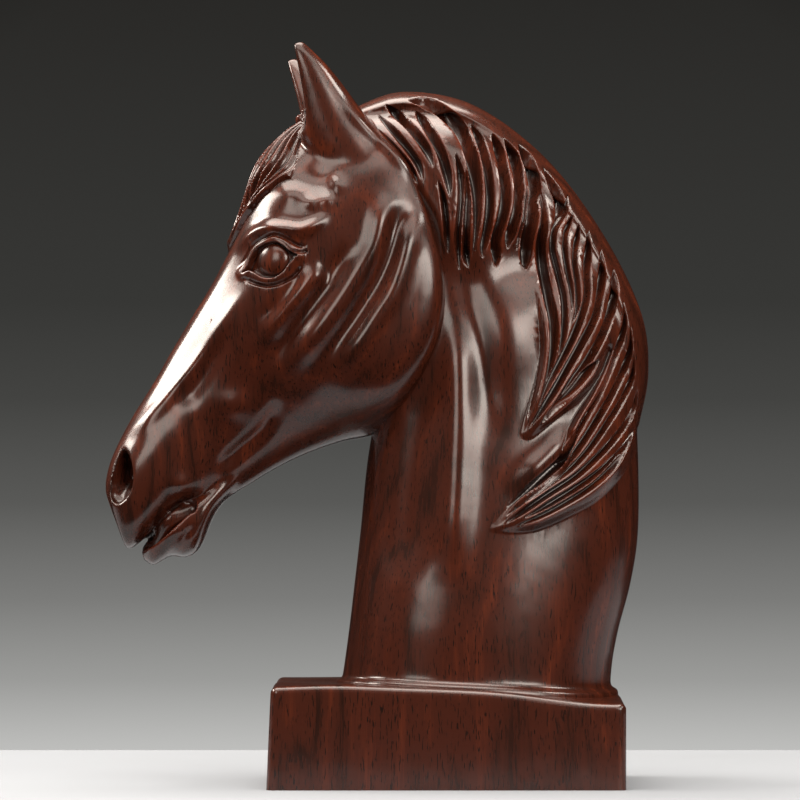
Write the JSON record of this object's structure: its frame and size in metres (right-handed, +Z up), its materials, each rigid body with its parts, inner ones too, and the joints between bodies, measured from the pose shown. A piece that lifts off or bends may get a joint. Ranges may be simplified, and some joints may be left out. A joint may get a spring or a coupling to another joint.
{
  "type": "carved wooden horse head",
  "caption": "Carved horse head and neck with a flowing mane, cut in one piece with its low rectangular plinth from dark polished hardwood.",
  "frame": {"origin": "centre of the plinth's footprint, in the plane of its flat underside", "axes": "+Z up, -X the way the horse faces, -Y the side that carries the full mane"},
  "size_m": [0.2195, 0.0942, 0.2972],
  "materials": {
    "polished_rosewood": "dark reddish brown rosewood, hand carved, sanded and lacquered to a gloss"
  },
  "bodies": {
    "root": {"carved_horse_head": "polished_rosewood"}
  },
  "joints": []
}
